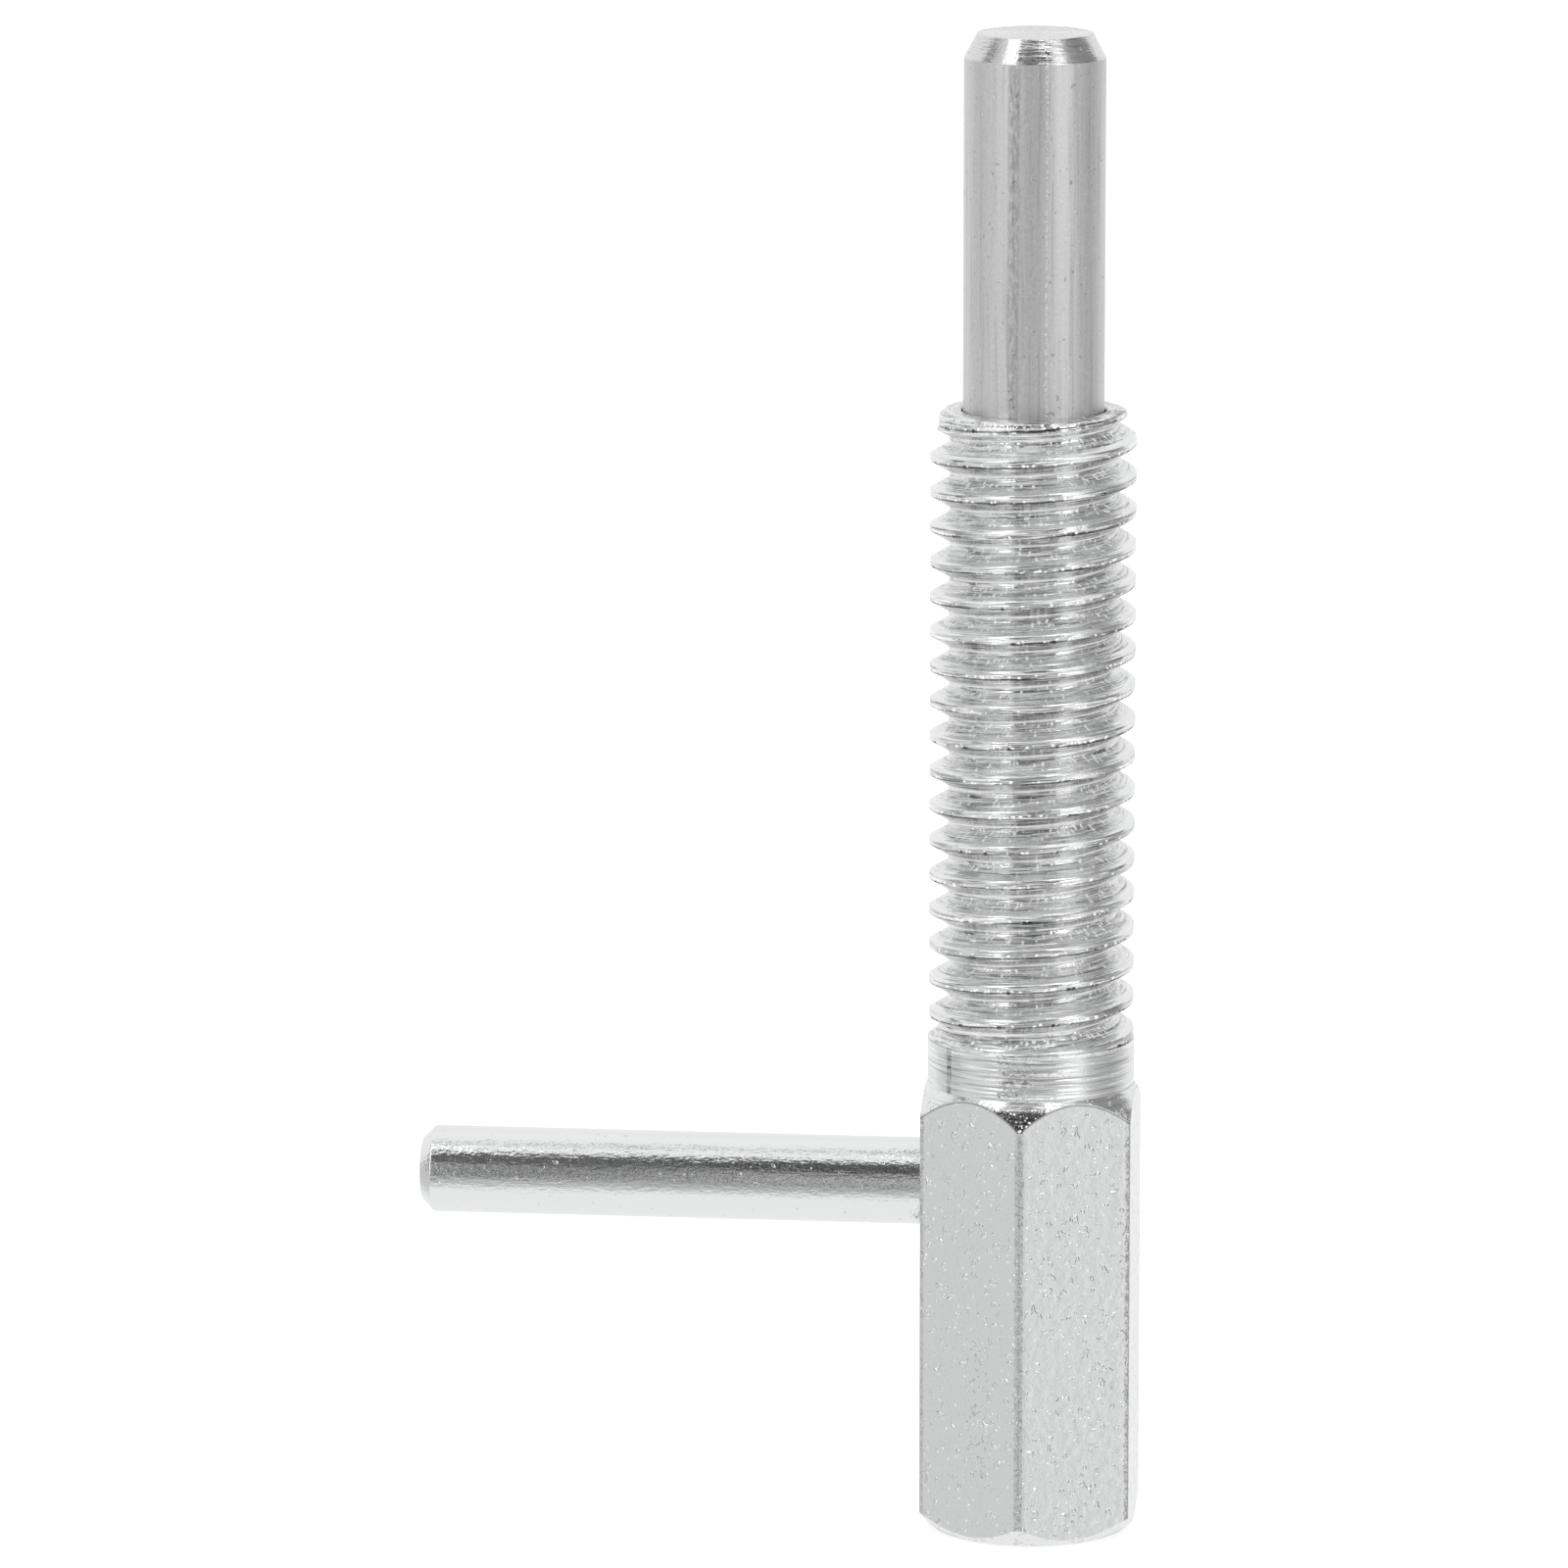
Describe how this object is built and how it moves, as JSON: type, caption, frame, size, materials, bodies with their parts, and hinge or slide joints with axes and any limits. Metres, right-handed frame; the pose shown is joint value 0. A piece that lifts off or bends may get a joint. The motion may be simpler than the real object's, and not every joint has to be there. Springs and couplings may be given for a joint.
{
  "type": "indexing plunger",
  "caption": "Hand-retractable indexing plunger: hexagon body with a threaded barrel, a sprung steel pin and a side lever that draws the pin back.",
  "frame": {"origin": "centre of the flat rear face of the hexagon", "axes": "+Z along the axis from the rear face to the nose of the pin, the lever points to -X"},
  "size_m": [0.0326, 0.011, 0.0683],
  "materials": {
    "plated_body": "bright zinc plating over turned steel",
    "ground_pin": "satin plated ground steel",
    "plated_lever": "bright zinc plating, drawn rod",
    "spring_wire": "drawn spring wire"
  },
  "bodies": {
    "housing": {"threaded_body": "plated_body", "compression_spring": "spring_wire"},
    "plunger": {"plunger_pin": "ground_pin", "lever_handle": "plated_lever"}
  },
  "joints": [
    {"name": "plunger_slide", "type": "slide", "parent": "housing", "child": "plunger", "axis": [0, 0, -1], "range_m": [0, 0.00953], "stiffness_N_per_m": 900, "springref_m": -0.008, "deforming": ["compression_spring"]}
  ]
}
